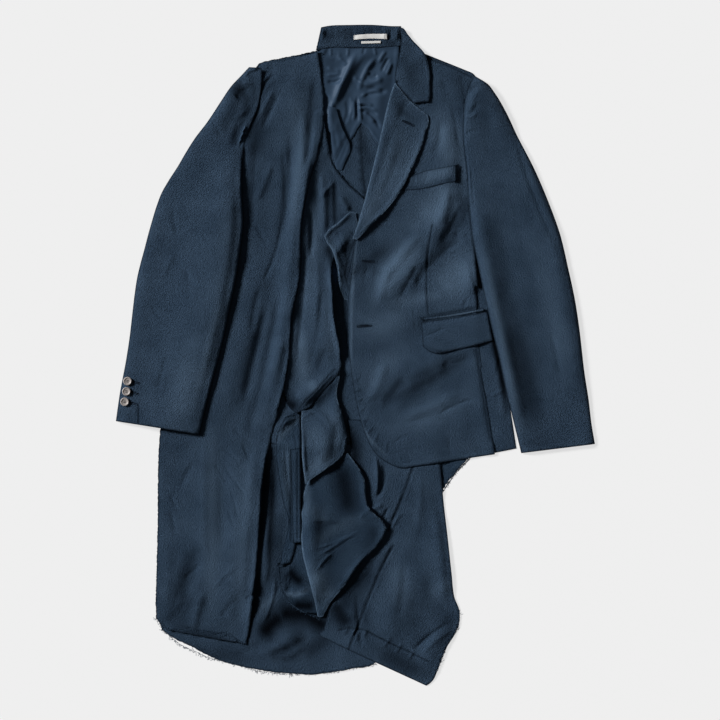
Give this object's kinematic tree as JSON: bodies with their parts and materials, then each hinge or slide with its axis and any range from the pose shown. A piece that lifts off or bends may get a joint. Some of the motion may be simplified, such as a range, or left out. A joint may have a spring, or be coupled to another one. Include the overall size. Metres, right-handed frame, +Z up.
{
  "type": "draped jacket",
  "caption": "Long deconstructed jacket lying flat on its back: one tailored blazer front with notch lapel, one long draped raw-edged front with a deep pleat.",
  "frame": {"origin": "centre of the bounding box, on the surface that the jacket lies on", "axes": "+X to the viewer's right (the blazer half), +Y from the hem to the collar, +Z up from the surface"},
  "size_m": [0.838, 1.1563, 0.0285],
  "materials": {
    "suiting": "fine navy plain-woven suiting with a soft sheen",
    "lining": "smooth dark navy lining",
    "label": "plain white woven tape, blank",
    "button": "dark grey turned button"
  },
  "bodies": {
    "root": {"back_left": "suiting", "back_right": "suiting", "back_skirt": "suiting", "back_remnant": "suiting", "collar_back": "suiting", "collar_stand": "suiting", "collar_fall": "suiting", "front_left": "suiting", "front_middle": "suiting", "pouch": "suiting", "inner_flap": "suiting", "placket_strip": "suiting", "turned_panel": "suiting", "turned_edge": "suiting", "tail_panel": "suiting", "facing_tab": "suiting", "front_right": "suiting", "side_right": "suiting", "lapel": "suiting", "breast_welt": "suiting", "pocket_jet": "suiting", "pocket_flap": "suiting", "top_sleeve_left": "suiting", "under_sleeve_left": "suiting", "top_sleeve_right": "suiting", "under_sleeve_right": "suiting", "back_lining": "lining", "lining_tab": "lining", "neck_label": "label", "size_tag": "label", "cuff_button_1": "button", "cuff_button_2": "button", "cuff_button_3": "button"}
  },
  "joints": []
}
